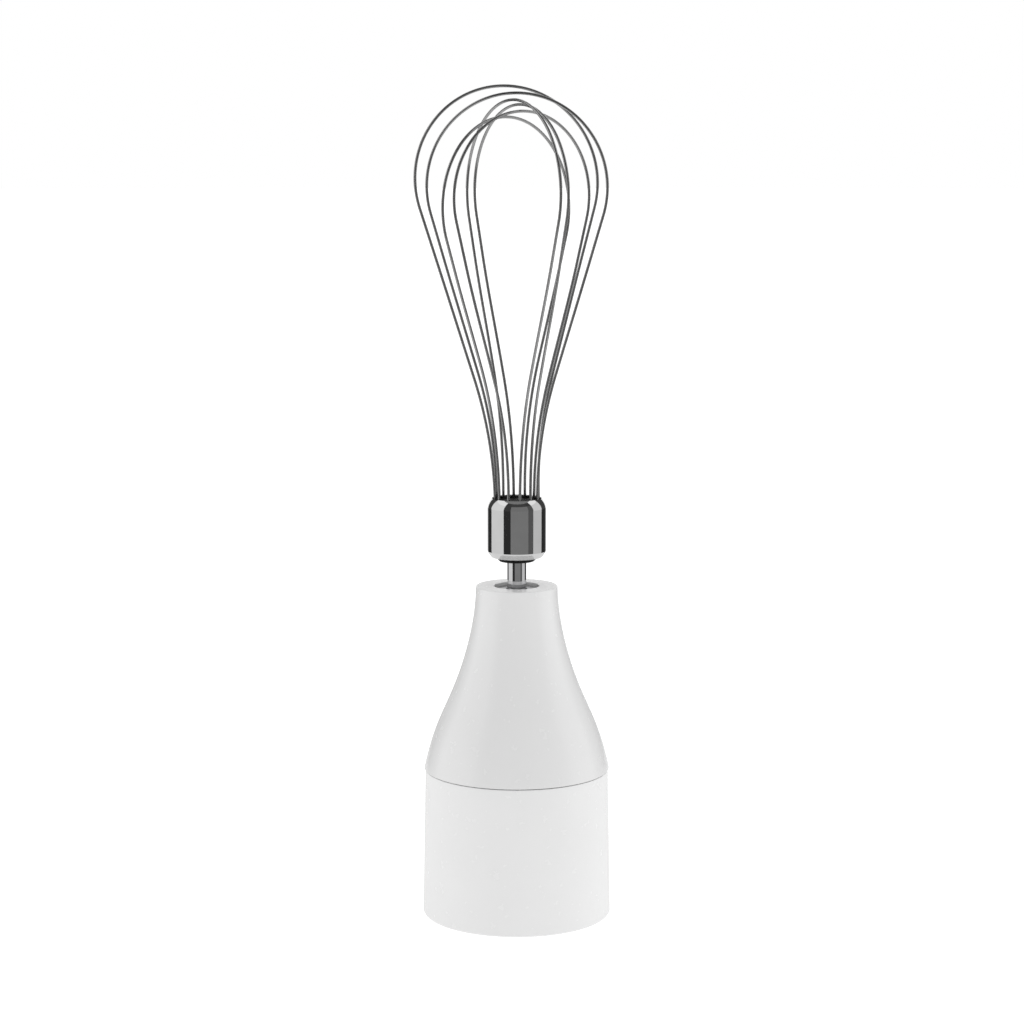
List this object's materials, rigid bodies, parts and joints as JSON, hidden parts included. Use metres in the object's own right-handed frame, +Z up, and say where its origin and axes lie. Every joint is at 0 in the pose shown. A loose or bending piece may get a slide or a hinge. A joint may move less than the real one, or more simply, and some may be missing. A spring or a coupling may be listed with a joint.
{
  "type": "whisk attachment of a hand blender",
  "caption": "Whisk attachment for a hand blender: white coupling collar and bottle-shaped gearbox cover, steel shaft and ferrule, balloon whisk of thin wire loops.",
  "frame": {"origin": "on the spin axis, at the level of the collar rim that the attachment stands on", "axes": "+Z up the spin axis from the collar to the whisk's tip; +Y away from the viewer of the front"},
  "size_m": [0.0566, 0.055, 0.2407],
  "materials": {
    "white_plastic": "gloss",
    "grey_plastic": "matte",
    "natural_nylon": "satin",
    "black_plastic": "satin",
    "black_rubber": "matte",
    "machined_steel": "satin",
    "bronze": "satin",
    "polished_steel": "polished",
    "wire_steel": "polished"
  },
  "bodies": {
    "housing": {"coupling_collar": "white_plastic", "cone_cover": "white_plastic", "neck_bush": "machined_steel", "neck_seal": "black_rubber", "gearbox_lid": "grey_plastic", "spindle_bush": "bronze", "ring_gear": "grey_plastic", "gearbox_base": "grey_plastic", "input_bush": "bronze", "case_screw_1": "machined_steel", "case_screw_2": "machined_steel", "case_screw_3": "machined_steel"},
    "carrier": {"planet_carrier": "grey_plastic", "planet_pin_1": "machined_steel", "planet_pin_2": "machined_steel", "planet_pin_3": "machined_steel", "output_spindle": "machined_steel", "shaft_clip": "machined_steel", "thrust_washer": "machined_steel"},
    "input": {"input_shaft": "machined_steel", "sun_gear": "machined_steel", "drive_coupler": "black_plastic", "coupler_clip": "machined_steel"},
    "planet_1": {"planet_gear_1": "natural_nylon"},
    "planet_2": {"planet_gear_2": "natural_nylon"},
    "planet_3": {"planet_gear_3": "natural_nylon"},
    "whisk": {"whisk_shaft": "machined_steel", "ferrule": "polished_steel", "wire_plug": "black_plastic", "whisk_wire_1": "wire_steel", "whisk_wire_2": "wire_steel", "whisk_wire_3": "wire_steel", "whisk_wire_4": "wire_steel", "whisk_wire_5": "wire_steel", "whisk_wire_6": "wire_steel"}
  },
  "joints": [
    {"name": "carrier_spin", "type": "hinge", "parent": "housing", "child": "carrier", "pos_m": [0, 0, 0.0365], "axis": [0, 0, 1], "continuous": true},
    {"name": "input_spin", "type": "hinge", "parent": "housing", "child": "input", "pos_m": [0, 0, 0.0245], "axis": [0, 0, 1], "continuous": true},
    {"name": "planet_spin_1", "type": "hinge", "parent": "carrier", "child": "planet_1", "pos_m": [0.01195, 0, 0.0311], "axis": [0, 0, 1], "continuous": true},
    {"name": "planet_spin_2", "type": "hinge", "parent": "carrier", "child": "planet_2", "pos_m": [-0.00597, 0.01035, 0.0311], "axis": [0, 0, 1], "continuous": true},
    {"name": "planet_spin_3", "type": "hinge", "parent": "carrier", "child": "planet_3", "pos_m": [-0.00597, -0.01035, 0.0311], "axis": [0, 0, 1], "continuous": true},
    {"name": "whisk_pull", "type": "slide", "parent": "carrier", "child": "whisk", "axis": [0, 0, 1], "range_m": [0, 0.056]}
  ],
  "couplings": [
    {"joint": "input_spin", "follows": "carrier_spin", "ratio": 5},
    {"joint": "planet_spin_1", "follows": "carrier_spin", "ratio": -2.6667},
    {"joint": "planet_spin_2", "follows": "carrier_spin", "ratio": -2.6667},
    {"joint": "planet_spin_3", "follows": "carrier_spin", "ratio": -2.6667}
  ]
}
